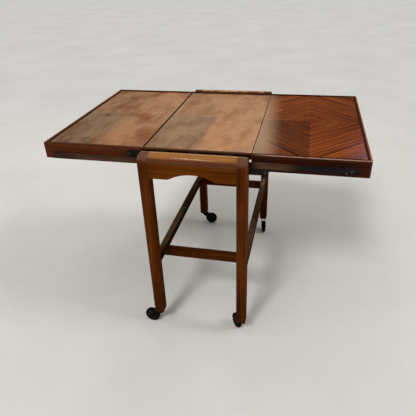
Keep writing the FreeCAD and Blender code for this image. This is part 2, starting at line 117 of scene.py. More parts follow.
# -------------------- shader sums
class Wire:
    """One output of a finish's nodes.  Sums written with it add Math nodes."""

    def __init__(self, tree, socket=None):
        self.tree = tree
        self.socket = socket

    def node(self, kind, settings=None, values=None, output=0):
        """A node of any kind: its settings, then the values or links of its sockets."""
        made = self.tree.nodes.new("ShaderNode" + kind)
        for name, value in (settings or {}).items():
            if name == "stops":
                fill_ramp(made.color_ramp, value)
            else:
                setattr(made, name, value)
        for name, value in (values or {}).items():
            if isinstance(value, Wire):
                self.tree.links.new(value.socket, made.inputs[name])
            else:
                made.inputs[name].default_value = value
        if isinstance(output, tuple):
            return [Wire(self.tree, made.outputs[name]) for name in output]
        return Wire(self.tree, made.outputs[output])

    def math(self, operation, other=None):
        values = {0: self} if other is None else {0: self, 1: other}
        return self.node("Math", {"operation": operation}, values)

    def __add__(self, other):
        return self.math("ADD", other)

    __radd__ = __add__

    def __mul__(self, other):
        return self.math("MULTIPLY", other)

    __rmul__ = __mul__

    def __sub__(self, other):
        return self.math("SUBTRACT", other)

    def __rsub__(self, other):
        return self.node("Math", {"operation": "SUBTRACT"}, {0: other, 1: self})

    def __abs__(self):
        return self.math("ABSOLUTE")

    def __gt__(self, other):
        return self.math("GREATER_THAN", other)

    def spread(self, low, high, start=0.0, end=1.0):
        """Maps low..high smoothly onto start..end, and holds the ends."""
        return self.node("MapRange", {"interpolation_type": "SMOOTHSTEP"}, {
            "Value": self, "From Min": low, "From Max": high, "To Min": start, "To Max": end})

    def noise(self, scale, detail=3.0, roughness=0.55, distortion=0.0):
        """Noise read at this vector."""
        return self.node("TexNoise", None, {
            "Vector": self, "Scale": scale, "Detail": detail, "Roughness": roughness,
            "Distortion": distortion})

    def stretched(self, scale, shift=(0.0, 0.0, 0.0)):
        """This vector scaled on each axis, so that a pattern runs along one of them."""
        return self.node("Mapping", None, {"Vector": self, "Scale": scale, "Location": shift})

    def part(self, axis):
        """One part of this vector, or several where a tuple of axes is given."""
        return self.node("SeparateXYZ", None, {"Vector": self}, output=axis)

    def ramp(self, *stops):
        """A colour by this value; each stop is a place and a colour."""
        return self.node("ValToRGB", {"stops": stops}, {"Fac": self})

    def toned(self, tones, low=0.3, middle=0.5, high=0.7):
        """A colour by this value, from three tones: dark, middle and light."""
        return self.ramp(*zip((low, middle, high), tones))


def fill_ramp(ramp, stops):
    while len(ramp.elements) < len(stops):
        ramp.elements.new(0.5)
    for element, (place, colour) in zip(ramp.elements, stops):
        element.position = place
        element.color = (*colour, 1.0)


def blend(amount, below, above):
    """One colour laid over another by an amount from 0 to 1."""
    wire = next(item for item in (amount, below, above) if isinstance(item, Wire))
    below = below if isinstance(below, Wire) else (*below, 1.0)
    above = above if isinstance(above, Wire) else (*above, 1.0)
    return wire.node("Mix", {"data_type": "RGBA"}, {0: amount, 6: below, 7: above}, output=2)


def shaded(colour, value):
    """A colour made lighter or darker by a factor."""
    return colour.node("HueSaturation", None, {"Value": value, "Color": colour})


def scaled(tone, factor, lift=0.0):
    """A plain tone made lighter or darker."""
    return tuple(part * factor + lift for part in tone)


def new_finish(name):
    """An empty material and a wire to build its nodes from."""
    material = bpy.data.materials.new(name)
    material.use_nodes = True
    material.node_tree.nodes.clear()
    return material, Wire(material.node_tree)


def close_finish(wire, colour, roughness, height=None, bump=0.0005, **fixed):
    """Principled surface with a bump in metres, wired to the material's output."""
    values = {"Base Color": colour, "Roughness": roughness}
    if height is not None:
        values["Normal"] = wire.node("Bump", None, {
            "Strength": 1.0, "Distance": bump, "Height": height})
    for name, value in fixed.items():
        values[name.replace("_", " ").title().replace("Ior", "IOR")] = value
    surface = wire.node("BsdfPrincipled", None, values)
    wire.node("OutputMaterial", None, {"Surface": surface}, output=())


def object_place(wire):
    return wire.node("TexCoord", output="Object")


def facing_up(wire):
    """1 where a surface faces straight up, 0 where it is upright, below 0 where it faces down."""
    return wire.node("TexCoord", output="Normal").part("Z")


def attribute(wire, name):
    return wire.node("Attribute", {"attribute_name": name}, output="Fac")


def rubbed_and_highlit_edges(wire):
    """1 on the rounding of an edge and 0 on the faces, broken up so that it comes and goes. On the steel it marks
    rubbed edges; on the woods its lighter edges are partly rubbing and partly a painted highlight.
    """
    return attribute(wire, "edge") * object_place(wire).noise(38.0).spread(0.42, 0.6)


def oval_mark(wire, x, y, long, wide, turn=0.0, z=mark_height, high=0.01):
    """A small oval mark at a place, 1 inside and 0 outside."""
    near = wire.node("Mapping", {"vector_type": "TEXTURE"}, {
        "Vector": object_place(wire), "Location": (x, y, z),
        "Rotation": (0.0, 0.0, math.radians(turn)), "Scale": (long, wide, high)})
    far = near.node("VectorMath", {"operation": "LENGTH"}, {0: near}, output="Value")
    return far.spread(1.0, 0.45)


def marked(wire, colour, marks):
    """A colour with small marks on it, real rubs and scratches and also painted patches of light: each is the
    values of oval_mark and a tint.
    """
    for *spot, tint in marks:
        colour = blend(oval_mark(wire, *spot), colour, tint)
    return colour


# -------------------- tones
mahogany = ((0.058, 0.014, 0.0015), (0.108, 0.028, 0.0025), (0.17, 0.049, 0.006))
leg_mahogany = ((0.046, 0.010, 0.001), (0.085, 0.0205, 0.003), (0.138, 0.038, 0.006))
# lighter tones painted on the top rails' upper faces: a painted highlight
lit_top_mahogany = ((0.22, 0.072, 0.008), (0.33, 0.118, 0.014), (0.43, 0.17, 0.024))
top_end_grain = ((0.075, 0.028, 0.014), (0.17, 0.075, 0.040))
rim_mahogany = ((0.032, 0.006, 0.002), (0.066, 0.014, 0.004), (0.12, 0.030, 0.009))
# a much darker copy of the mahogany for the low rails: painted shade under the table
shaded_low_mahogany = ((0.009, 0.003, 0.001), (0.022, 0.007, 0.002), (0.048, 0.016, 0.005))
cross_mahogany = ((0.034, 0.008, 0.0015), (0.062, 0.016, 0.0025), (0.10, 0.029, 0.005))
plain_hardwood = ((0.16, 0.085, 0.04), (0.27, 0.16, 0.085), (0.36, 0.23, 0.13))
striped_veneer = ((0.052, 0.009, 0.001), (0.178, 0.037, 0.0035), (0.39, 0.108, 0.012))
red_veneer = ((0.050, 0.0075, 0.001), (0.172, 0.0325, 0.004), (0.37, 0.095, 0.013))
# painted highlights: along the outer rims' outer half, and along the right leaf's front and back top edges
rim_highlight = (0.27, 0.085, 0.030)
brink_highlight = (0.42, 0.22, 0.17)
dusty = (0.18, 0.108, 0.054)
dust_and_shade_along = (-0.35, 0.3, 0.55, 1.0)   # two places on Y, and how much dust film lies at each: less towards the front end, which also paints shade there
# painted highlight on the low rails' edges, and painted patches of light on their tops
tan_highlight = (0.34, 0.20, 0.10)
# painted highlight along the top rails' inner top edge
pale_edge_highlight = (0.85, 0.52, 0.28)
# painted highlight beside a shut line, and painted shadow over its gap
shut_highlight = (0.30, 0.13, 0.05)
shut_shadow = (0.004, 0.002, 0.001)
# painted shade on the centre panel's rim faces down in its gaps
shaded_rim = (0.003, 0.0015, 0.001)
spot_tint, scratch_tint = (0.75, 0.6, 0.5), (0.05, 0.015, 0.01)

black_tones = ((0.006, 0.0055, 0.0055), (0.013, 0.0105, 0.0095))
# partly rust, partly a painted reflection on the outer arms
brown_rust_and_sheen = ((0.050, 0.022, 0.011), (0.095, 0.045, 0.024), (0.16, 0.085, 0.05))
dull_rub, arm_rub, stud_rub = (0.008, 0.006, 0.005), (0.020, 0.013, 0.010), (0.040, 0.030, 0.022)
steel_rub = (0.035, 0.022, 0.014)
# a pale dot painted on the right front arm at its pivot
pale_dot = (0.35, 0.30, 0.24)
bare_iron = (0.22, 0.20, 0.18)
black = (0.003, 0.003, 0.003)
grimy_black = (0.012, 0.010, 0.008)
dusty_rubber, dusty_disc = (0.03, 0.026, 0.022), (0.030, 0.029, 0.024)
floor_tones = ((0.66, 0.65, 0.62), (0.72, 0.71, 0.68))

pore_depth = 0.00008      # bump of open grain, in metres
saw_depth = 0.00018
veneer_waves = 0.0006
steel_grain = 0.00005
enamel_peel = 0.00006


# -------------------- finishes
def along_grain(run, across, lengthwise):
    """Scales of a pattern that is long on axis run and narrow on the others."""
    return tuple(lengthwise if axis == run else across for axis in "XYZ")


def wood_figure(place, run):
    """Ribbons, streaks and open pores of wood whose grain runs along one axis, from 0 to 1."""
    ribbon = place.stretched(along_grain(run, 62.0, 2.2)).noise(1.0, 2.0, 0.5, 0.35)
    streak = place.stretched(along_grain(run, 330.0, 7.0)).noise(1.0, 4.0, 0.62)
    pores = place.stretched(along_grain(run, 1500.0, 95.0)).noise(1.0, 2.0, 0.5)
    return ribbon, streak, pores.spread(0.6, 0.72)


def polished_wood(name, run, tones, gloss, ior, dust=None, lit_top_tones=None, gleam=0.0,
                  end_grain=None, edge_highlight_tone=None, low_darkening=None, marks=()):
    """Polished wood: dark, middle and light tones of its figure, darker pores, and lighter edges, partly from
    rubbing and partly a painted highlight.

    Where it has lit-top tones its rounded top is painted lighter, a painted highlight, and glossy under a thicker
    polish; gleam is how thick.  With a low darkening it has two heights and how light it is at each of them:
    darker towards the feet, in part a painted shade.
    """
    material, wire = new_finish(name)
    place = object_place(wire)
    ribbon, streak, pores = wood_figure(place, run)
    figure = ribbon * 0.55 + streak * 0.45
    colour = figure.toned(tones)
    polish = {}
    # painted highlight: faces turned upwards take the lighter top tones
    if lit_top_tones:
        up = facing_up(wire)
        colour = blend(up.spread(0.5, 0.95), colour, figure.toned(lit_top_tones))
        polish = {"coat_weight": up.spread(0.03, 0.2, 0.0, gleam), "coat_roughness": 0.06}
    if end_grain:
        ends = streak.ramp((0.35, end_grain[0]), (0.65, end_grain[1]))
        colour = blend(up.spread(0.15, 0.6), colour, ends)
    colour = shaded(colour, place.noise(7.0, 2.0).spread(0.3, 0.7, 0.82, 1.16))
    # darker towards the bottom, in part a painted shade low under the table
    if low_darkening:
        colour = shaded(colour, place.part("Z").spread(*low_darkening))
    colour = blend(pores * 0.45, colour, scaled(tones[0], 0.35))
    # lighter edges: partly rubbing, partly a painted highlight along the rounded edges
    edge_rub_and_highlight = rubbed_and_highlit_edges(wire) * (0.45 if edge_highlight_tone else 0.35)
    colour = blend(edge_rub_and_highlight, colour, edge_highlight_tone or scaled(tones[2], 1.9))
    roughness = streak * 0.10 + (gloss + pores * 0.15)
    if dust:
        patch = place.noise(26.0, 4.0, 0.6).spread(0.25, 0.6, 0.35, 0.85)
        film = facing_up(wire).spread(0.5, 0.95) * patch
        # dust that fades towards the front end, which also paints shade there under the table
        film = film * place.part("Y").spread(*dust_and_shade_along)
        colour = blend(film, colour, dust)
        roughness = roughness + film * 0.4
    colour = marked(wire, colour, marks)
    close_finish(wire, colour, roughness, streak * 0.4 - pores, pore_depth, ior=ior, **polish)
    return material


def rim_finish(run):
    """Dark polish on a panel's rim, with a painted highlight along the outer half of its outer edges, painted
    shade in the centre panel's gaps and along the outer rims' inner half, and a painted highlight on the right
    leaf's front and back top edges.
    """
    material, wire = new_finish("rim_mahogany_along_" + run.lower())
    place = object_place(wire)
    ribbon, streak, pores = wood_figure(place, run)
    colour = (ribbon * 0.5 + streak * 0.5).toned(rim_mahogany)
    x, y = place.part(("X", "Y"))
    colour = shaded(colour, x.spread(-0.2, 0.25, 1.25, 0.62))
    outward = abs(x).spread(half_open_width - rim_width * 0.62,
                            half_open_width - rim_width * 0.40)
    top = facing_up(wire).spread(0.3, 0.6)
    patch = place.noise(30.0, 3.0).spread(0.3, 0.6, 0.6, 1.0)
    # painted highlight along the outer half of the outer rims' tops
    colour = blend(outward * top * patch, colour, rim_highlight)
    # the rest of the rims' tops darker: the rims' dark tone, and on the outer rims a painted shadow along their
    # inner half
    colour = blend((1 - outward) * top * 0.6, colour, scaled(rim_mahogany[0], 0.4))
    # painted shade on the centre panel's rim faces, down in the gaps beside it
    in_centre = abs(x).spread(shut_line + 0.0002, shut_line - 0.0002)
    colour = blend(in_centre * (1 - top) * 0.85, colour, shaded_rim)
    # painted highlight along the right leaf's front and back top edges
    brink = abs(y).spread(panel_end - 0.0045, panel_end - 0.003) * top * x.spread(0.17, 0.24)
    colour = blend(brink * patch * 0.8, colour, brink_highlight)
    colour = blend(rubbed_and_highlit_edges(wire) * 0.25, colour, scaled(rim_mahogany[2], 1.6, 0.01))
    close_finish(wire, colour, streak * 0.12 + 0.24 + pores * 0.1, streak * 0.4 - pores,
                 pore_depth, ior=1.13, coat_weight=outward * 0.5, coat_roughness=0.15)
    return material


def plain_wood(run):
    """Unpolished wood of the hidden pieces, with saw marks across its grain."""
    material, wire = new_finish("plain_hardwood_along_" + run.lower())
    place = object_place(wire)
    ribbon, streak, pores = wood_figure(place, run)
    colour = (ribbon * 0.5 + streak * 0.5).toned(plain_hardwood, 0.3, 0.52, 0.72)
    colour = blend(pores * 0.3, colour, plain_hardwood[0])
    saw_marks = place.stretched(along_grain(run, 3.0, 420.0)).noise(1.0, 1.0)
    close_finish(wire, colour, streak * 0.15 + 0.6, streak * 0.6 + saw_marks * 0.4, saw_depth)
    return material


def quarter_values(right, back, left_front, right_front, left_back, right_back):
    """A value for each quarter of a panel, from two masks that are 0 or 1."""
    front = 1 - back
    left = 1 - right
    return (left * front * left_front + right * front * right_front
            + left * back * left_back + right * back * right_back)


def matched_veneer(name, middle_x, tones, quarters, quarter_edge, clouds, contrast, polish,
                   shut_lines=(), marks=()):
    """Striped veneer in four matched quarters, so that its stripes close into diamonds.

    quarters is how light each one is painted, a painted sheen that differs with the grain's direction: front left,
    front right, back left and back right.
    quarter_edge is how soft their meeting is on x and on y.  A shut line is a painted shadow along the gap beside
    a panel with a painted highlight next to it: its place on x, its half width, and the width of that light edge.
    """
    material, wire = new_finish(name)
    place = object_place(wire)
    x, y = place.part(("X", "Y"))
    off = x - middle_x
    out, up = abs(off), abs(y)
    drift = (place.noise(9.0, 2.0) - 0.5) * 0.010
    across = out * math.cos(matching_angle) + up * math.sin(matching_angle) + drift
    length = out * math.sin(matching_angle) - up * math.cos(matching_angle)

    def stripes(narrow, run, detail, layer):
        vector = wire.node("CombineXYZ", None, {
            "X": across * narrow, "Y": length * run, "Z": layer})
        return vector.noise(1.0, detail, 0.6)

    ribbon = stripes(95.0, 1.6, 2.0, 3.1)
    line = stripes(300.0, 3.0, 3.0, 7.7)
    fibre = stripes(900.0, 14.0, 2.0, 1.4)
    curl = stripes(14.0, 60.0, 3.0, 5.2)
    figure = ribbon * 0.40 + line * 0.47 + fibre * 0.13
    colour = figure.toned(tones, 0.5 - contrast, 0.5, 0.5 + contrast)
    right = off.spread(-quarter_edge[0], quarter_edge[0])
    back = y.spread(-quarter_edge[1], quarter_edge[1])
    cloud = place.stretched((15.0, 8.0, 1.0)).noise(1.0, 2.5, 0.5, 0.4)
    smear = place.stretched((34.0, 7.0, 1.0), (3.0, 1.0, 0.0)).noise(1.0, 4.0, 0.6, 0.5)
    # each quarter painted lighter or darker, a painted sheen; clouds and curls vary it at random
    painted_quarter_sheen = quarter_values(right, back, *quarters)
    painted_quarter_sheen = painted_quarter_sheen * (1.0 + (cloud - 0.5) * clouds + (curl - 0.5) * 0.5)
    colour = shaded(colour, painted_quarter_sheen)
    joint = (1 - (out > 0.0005)).math("MAXIMUM", 1 - (up > 0.0005))
    colour = blend(joint * 0.5, colour, scaled(tones[0], 0.5))
    top = facing_up(wire).spread(0.2, 0.5)
    shine = (cloud * 0.6 + smear * 0.4).spread(0.34, 0.60, *polish) * top
    # each shut line: a painted highlight beside it, then a painted shadow over the gap, where the polish's sheen
    # stops
    for place_x, dark, light in shut_lines:
        near = abs(x - place_x)
        colour = blend(near.spread(dark + light, dark, 0.0, 0.5), colour, shut_highlight)
        colour = blend(near.spread(dark, dark * 0.7), colour, shut_shadow)
        shine = shine * near.spread(dark * 0.7, dark)
    edging = fibre.ramp((0.3, rim_mahogany[1]), (0.7, rim_mahogany[2]))
    colour = marked(wire, blend(top, edging, colour), marks)
    waves = place.noise(16.0, 2.0) * 0.6 + fibre * 0.03
    close_finish(wire, colour, smear.spread(0.3, 0.7, 0.2, 0.3), waves, veneer_waves,
                 ior=1.12, coat_weight=shine, coat_roughness=0.07)
    return material


def blackened_steel(name, rub_tone, ior, brown_sheen=False, marks=()):
    """Steel with a rubbed black finish, and where brown_sheen is set, two brown bands along X: partly rust, partly
    a painted reflection on the outer arms' faces.
    """
    material, wire = new_finish(name)
    place = object_place(wire)
    rub = place.stretched((9.0, 40.0, 60.0)).noise(1.0, 4.0, 0.6)
    fine = place.noise(420.0, 3.0)
    colour = rub.toned((*black_tones, rub_tone), 0.35, 0.55, 0.74)
    # two brown bands along X: partly rust, partly a painted reflection on the arms' faces
    if brown_sheen:
        x = place.part("X")
        right, left = (x.spread(*start) * x.spread(*end) for start, end in brown_sheen_bands)
        colour = blend(right + left, colour, rub.toned(brown_rust_and_sheen, 0.3, 0.55, 0.75))
    colour = blend(rubbed_and_highlit_edges(wire) * 0.4, colour, scaled(rub_tone, 2.0))
    colour = marked(wire, colour, marks)
    close_finish(wire, colour, rub.spread(0.3, 0.7, 0.36, 0.54) + fine * 0.06, fine,
                 steel_grain, ior=ior)
    return material


def castor_iron():
    """Black enamelled pressed steel, bare along its edges."""
    material, wire = new_finish("black_enamel")
    place = object_place(wire)
    grime = place.noise(45.0, 4.0).spread(0.35, 0.7)
    colour = blend(grime * 0.5, black, grimy_black)
    colour = blend(rubbed_and_highlit_edges(wire) * 0.6, colour, bare_iron)
    close_finish(wire, colour, grime * 0.2 + 0.42, place.noise(240.0), enamel_peel, ior=1.06)
    return material


def wheel_rubber():
    """Hard black rubber, dusty in patches and on the disc inside its tyre."""
    material, wire = new_finish("hard_rubber")
    place = object_place(wire)
    grain = place.noise(600.0, 2.0)
    dust = place.noise(70.0, 4.0, 0.65).spread(0.45, 0.75)
    colour = blend(dust * 0.2, black, dusty_rubber)
    on_disc = attribute(wire, "disc") * dust.spread(0.0, 0.6, 0.5, 1.0)
    colour = blend(on_disc, colour, dusty_disc)
    close_finish(wire, colour, dust * 0.2 + 0.42, grain, steel_grain, ior=1.06)
    return material


def make_wood_finishes(finishes):
    """Finishes of solid wood, by slot and by the axis that their grain runs along."""
    for run in "XYZ":
        finishes["rim_wood", run] = rim_finish(run)
        finishes["plain_wood", run] = plain_wood(run)
    finishes["stretcher_wood", "X"] = polished_wood(
        "cross_mahogany", "X", cross_mahogany, gloss=0.36, ior=1.02)
    # low rails: a shaded dark tone, dust on top, a painted highlight on their edges, a small pale spot on the left
    # rail, and a painted patch of light on the right rail near its rear leg
    finishes["stretcher_wood", "Y"] = polished_wood(
        "low_rail_mahogany", "Y", shaded_low_mahogany, gloss=0.42, ior=1.02, dust=dusty,
        edge_highlight_tone=tan_highlight, marks=(
            (-0.1524, 0.0030, 0.006, 0.004, 0.0, 0.305, 0.004, tan_highlight),
            (0.1587, 0.2938, 0.011, 0.055, 0.0, 0.305, 0.004, tan_highlight)))
    # top rails: a painted highlight on their upper faces and along their inner top edge
    finishes["frame_wood", "X"] = polished_wood(
        "top_rail_mahogany", "X", mahogany, gloss=0.34, ior=1.03,
        lit_top_tones=lit_top_mahogany, gleam=0.8, edge_highlight_tone=pale_edge_highlight)
    # legs darker towards their feet, in part a painted shade low under the table
    finishes["frame_wood", "Z"] = polished_wood(
        "leg_mahogany", "Z", leg_mahogany, gloss=0.34, ior=1.03,
        lit_top_tones=leg_mahogany, gleam=0.4, end_grain=top_end_grain,
        low_darkening=(0.03, 0.36, 0.55, 1.06))


def make_veneers(finishes):
    """The three panels' veneers."""
    # half widths of the painted shadow along each shut line, and widths of the painted highlight beside it
    wide_shut, narrow_shut = (0.0055, 0.004), (0.0018, 0.005)
    finishes["centre_veneer"] = matched_veneer(
        "centre_veneer", veneer_middle["centre"], striped_veneer, (0.55, 1.2, 0.95, 1.1),
        quarter_edge=(0.012, 0.005), clouds=0.7, contrast=0.18, polish=(0.45, 1.0),
        shut_lines=((-shut_line, *wide_shut), (shut_line, *narrow_shut)))
    finishes["left_veneer"] = matched_veneer(
        "left_veneer", veneer_middle["left"], striped_veneer, (0.40, 1.1, 0.78, 1.1),
        quarter_edge=(0.055, 0.018), clouds=0.9, contrast=0.22, polish=(0.15, 1.0),
        shut_lines=((-shut_line, *wide_shut),))
    finishes["right_veneer"] = matched_veneer(
        "right_veneer", veneer_middle["right"], red_veneer, (0.62, 1.1, 1.12, 1.05),
        quarter_edge=(0.0008, 0.0008), clouds=0.3, contrast=0.105, polish=(0.85, 1.0),
        shut_lines=((shut_line, 0.0018, 0.002),), marks=(
            (0.2357, 0.1209, 0.0038, 0.0038, 0.0, spot_tint),
            (0.2230, -0.078, 0.014, 0.003, 38.0, scratch_tint)))


def make_finishes():
    """Every finish by its slot, and by the axis its grain runs along where that differs."""
    finishes = {}
    make_wood_finishes(finishes)
    make_veneers(finishes)
    finishes["black_steel"] = blackened_steel("blackened_steel", steel_rub, 1.3)
    finishes["arm_steel"] = blackened_steel(
        "blackened_arm_steel", arm_rub, 1.12, brown_sheen=True,
        # a pale dot painted on the right front arm at its pivot
        marks=((0.4602, -0.354, 0.0019, 0.004, 0.0, 0.6847, 0.0015, pale_dot),))
    finishes["inner_arm_steel"] = blackened_steel("blackened_inner_arm_steel", arm_rub, 1.12)
    finishes["matt_black"] = blackened_steel("matt_black_steel", dull_rub, 1.05)
    finishes["stud_steel"] = blackened_steel("blackened_stud_steel", stud_rub, 1.4)
    finishes["castor_iron"] = castor_iron()
    finishes["wheel_rubber"] = wheel_rubber()
    return finishes


# -------------------- shaping
def grain_run(node):
    """Axis along which a piece's grain runs: its longest side."""
    low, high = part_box(node)
    size = high - low
    return "XYZ"[max(range(3), key=lambda axis: size[axis])]


def finish_for(node, finishes):
    slot = slot_of_node[node]
    if "_arm_" in node:
        return finishes["inner_arm_steel" if "_inner_" in node else "arm_steel"]
    return finishes[slot] if slot in finishes else finishes[slot, grain_run(node)]


def merged_copy(node):
    """The CAD piece with its doubles merged and its flat faces whole, as a bmesh."""
    shape = bmesh.new()
    shape.from_mesh(frame["nodes"][node].data)
    bmesh.ops.remove_doubles(shape, verts=shape.verts, dist=2e-6)
    bmesh.ops.dissolve_limit(shape, angle_limit=math.radians(0.5),
                             verts=shape.verts, edges=shape.edges)
    return shape


def turned_edges(shape, along=None):
    """Edges that turn sharply, or of them those that run along a direction."""
    found = []
    for edge in shape.edges:
        if len(edge.link_faces) != 2 or edge.calc_face_angle(0.0) < sharp_angle:
            continue
        run = (edge.verts[1].co - edge.verts[0].co).normalized()
        if along is None or abs(run.dot(along)) > 0.999:
            found.append(edge)
    return found


def round_edges(shape, edges, width, segments):
    return bmesh.ops.bevel(
        shape, geom=edges, offset=width, offset_type="OFFSET", segments=segments,
        profile=0.5, affect="EDGES", clamp_overlap=True)["faces"]


def bridge(shape, row, following, closed=True):
    """Faces between two rows of points, which are rings where closed."""
    count = len(row)
    for index in range(count if closed else count - 1):
        onward = (index + 1) % count
        shape.faces.new((row[index], following[index], following[onward], row[onward]))


def shown(name, mesh):
    """An object of a mesh, put in the scene."""
    made = bpy.data.objects.new(name, mesh)
    bpy.context.scene.collection.objects.link(made)
    return made


def finished_object(name, shape, material):
    """A bmesh made an object, smooth but for its sharp turns."""
    mesh = bpy.data.meshes.new(name)
    shape.normal_update()
    shape.to_mesh(mesh)
    shape.free()
    mesh.materials.append(material)
    mesh.shade_smooth()
    mesh.set_sharp_from_angle(angle=smooth_angle)
    return shown(name, mesh)


def evaluated_mesh(made):
    """A copy of an object's mesh with its modifiers applied."""
    bpy.context.view_layer.update()
    seen = made.evaluated_get(bpy.context.evaluated_depsgraph_get())
    return bpy.data.meshes.new_from_object(seen)


def flat_faces_first(made):
    """Weights the normals by the faces' areas, so that wide flats look flat to their edges."""
    weighted = made.modifiers.new("flats", "WEIGHTED_NORMAL")
    weighted.keep_sharp = True
    mesh = evaluated_mesh(made)
    made.modifiers.remove(weighted)
    made.data = mesh
    return made


def mark_edges(shape, faces):
    """Writes 1 at the corners of the rounded edges' faces and 0 elsewhere."""
    layer = shape.loops.layers.float.new("edge")
    for face in faces:
        if face.is_valid:
            for loop in face.loops:
                loop[layer] = 1.0


def install(made, node):
    """The piece stands for its CAD node and moves with its body."""
    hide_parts(node)
    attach(made, body_of_node[node])


def install_dressed(node, shape, finishes):
    made = finished_object("dressed_" + node, shape, finish_for(node, finishes))
    install(flat_faces_first(made), node)


def dress(node, finishes, width, corner=0.0, corner_run=None):
    """A CAD piece with rounded edges, and round corners where its outline has cut ones."""
    shape = merged_copy(node)
    if corner:
        round_edges(shape, turned_edges(shape, corner_run), corner, segments=4)
    mark_edges(shape, round_edges(shape, turned_edges(shape), width, segments=2))
    install_dressed(node, shape, finishes)


def turning(name, profile, start, axis, material, segments):
    """A turned piece: a closed profile of (radius, distance along) spun about an axis."""
    axis = axis.normalized()
    side = axis.orthogonal().normalized()
    other = axis.cross(side)
    shape = bmesh.new()
    rings = []
    for step in range(segments):
        angle = 2 * math.pi * step / segments
        out = side * math.cos(angle) + other * math.sin(angle)
        rings.append([shape.verts.new(start + axis * along + out * radius)
                      for radius, along in profile])
    for ring, following in zip(rings, rings[1:] + rings[:1]):
        bridge(shape, ring, following)
    bmesh.ops.remove_doubles(shape, verts=shape.verts, dist=1e-6)
    bmesh.ops.recalc_face_normals(shape, faces=shape.faces)
    return finished_object(name, shape, material)


def islands(node):
    """Boxes of a node's separate solids, as (lowest corner, highest corner)."""
    shape = merged_copy(node)
    left = set(shape.verts)
    boxes = []
    while left:
        group = [left.pop()]
        for vert in group:
            for edge in vert.link_edges:
                far = edge.other_vert(vert)
                if far in left:
                    left.remove(far)
                    group.append(far)
        boxes.append(tuple(Vector([pick(vert.co[axis] for vert in group) for axis in range(3)])
                           for pick in (min, max)))
    shape.free()
    return sorted(boxes, key=lambda box: tuple(box[0]))


def joined(name, objects):
    """Several meshes made one object."""
    shape = bmesh.new()
    for one in objects:
        shape.from_mesh(one.data)
    material = objects[0].data.materials[0]
    for one in objects:
        bpy.data.objects.remove(one)
    return finished_object(name, shape, material)


# -------------------- end frames
def rounding_steps(radius, count):
    """Distances in from a face at even turns of a rounding, and how far it falls there."""
    turns = [math.pi / 2 * step / count for step in range(count + 1)]
    return [(radius * (1 - math.cos(turn)), radius * (1 - math.sin(turn))) for turn in turns]


def fall(near, radius):
    """How far a rounding lies below the top, at a distance in from the face."""
    if near >= radius:
        return 0.0
    return radius - math.sqrt(max(0.0, radius ** 2 - (radius - near) ** 2))


def plan_corner(x, y, low, high, radius):
    """Draws a point near a corner of a rectangle in, so that the corner is round."""
    out = []
    for value, start, end in ((x, low[0], high[0]), (y, low[1], high[1])):
        if value < start + radius:
            out.append((start + radius, (value - start - radius) / radius))
        elif value > end - radius:
            out.append((end - radius, (value - end + radius) / radius))
        else:
            return x, y
    (base_x, a), (base_y, b) = out
    return (base_x + radius * a * math.sqrt(1 - b * b / 2),
            base_y + radius * b * math.sqrt(1 - a * a / 2))


def leg_top(shape, low, high):
    """A leg's top as a grid of faces from its outer corner in.  Gives back its outline."""
    into_x, outer_x = (-1, high.x) if low.x > 0 else (1, low.x)
    into_y, outer_y = (1, low.y) if low.y < 0 else (-1, high.y)
    wide, deep = high.x - low.x, high.y - low.y
    across = [near for near, _ in rounding_steps(shoulder_radius, 10)]
    across += [wide - 0.012, wide - 0.004]     # on the flat between its roundings
    across += [wide - near for near, _ in reversed(rounding_steps(leg_edge, 4))]
    along = [near for near, _ in rounding_steps(nose_radius, 20)] + [deep - 0.006]
    along += [deep - near for near, _ in reversed(rounding_steps(inner_edge, 5))]
    grid = []
    for in_x in across:
        line = []
        for in_y in along:
            place = plan_corner(outer_x + in_x * into_x, outer_y + in_y * into_y,
                                low, high, leg_edge)
            down = (fall(in_x, shoulder_radius) ** 3 + fall(in_y, nose_radius) ** 3) ** (1 / 3)
            down += fall(wide - in_x, leg_top_arris) + fall(deep - in_y, inner_edge)
            line.append(shape.verts.new((*place, high.z - down)))
        grid.append(line)
    for line, following in zip(grid, grid[1:]):
        bridge(shape, line, following, closed=False)
    return ([line[0] for line in grid] + grid[-1][1:]
            + [line[-1] for line in reversed(grid[:-1])] + grid[0][-2:0:-1])


def make_leg(node, finishes):
    """A leg with rounded long edges and foot, whose top takes the end frame's roundings."""
    low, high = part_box(node)
    middle = (low + high) / 2
    wide, deep = high.x - low.x, high.y - low.y
    shape = bmesh.new()
    rim = leg_top(shape, low, high)
    below_nose = high.z - nose_radius - nose_margin
    rings = [rim, [shape.verts.new((vert.co.x, vert.co.y, below_nose)) for vert in rim]]
    for near, down in rounding_steps(foot_edge, 5):
        rings.append([shape.verts.new((
            middle.x + (vert.co.x - middle.x) * (1 - 2 * near / wide),
            middle.y + (vert.co.y - middle.y) * (1 - 2 * near / deep),
            low.z + down)) for vert in rim])
    for ring, below in zip(rings, rings[1:]):
        bridge(shape, ring, below)
    shape.faces.new(rings[-1])
    bmesh.ops.recalc_face_normals(shape, faces=shape.faces)
    mark_edges(shape, [face for face in shape.faces if all(
        abs(vert.co.x - middle.x) > wide / 2 - leg_edge
        and abs(vert.co.y - middle.y) > deep / 2 - leg_edge for vert in face.verts)])
    install_dressed(node, shape, finishes)


def arch_height(x):
    """Height of a top rail's lower edge above its lowest line: an arch with rounded heels."""
    near = abs(x)
    dome_radius = (arch_half_width ** 2 + arch_rise ** 2) / (2 * arch_rise) - arch_heel_radius
    meeting = dome_radius * arch_half_width / (dome_radius + arch_heel_radius)
    if near <= meeting:
        return arch_rise - dome_radius + math.sqrt(dome_radius ** 2 - near ** 2)
    if near < arch_half_width:
        return arch_heel_radius - math.sqrt(arch_heel_radius ** 2 - (arch_half_width - near) ** 2)
    return 0.0


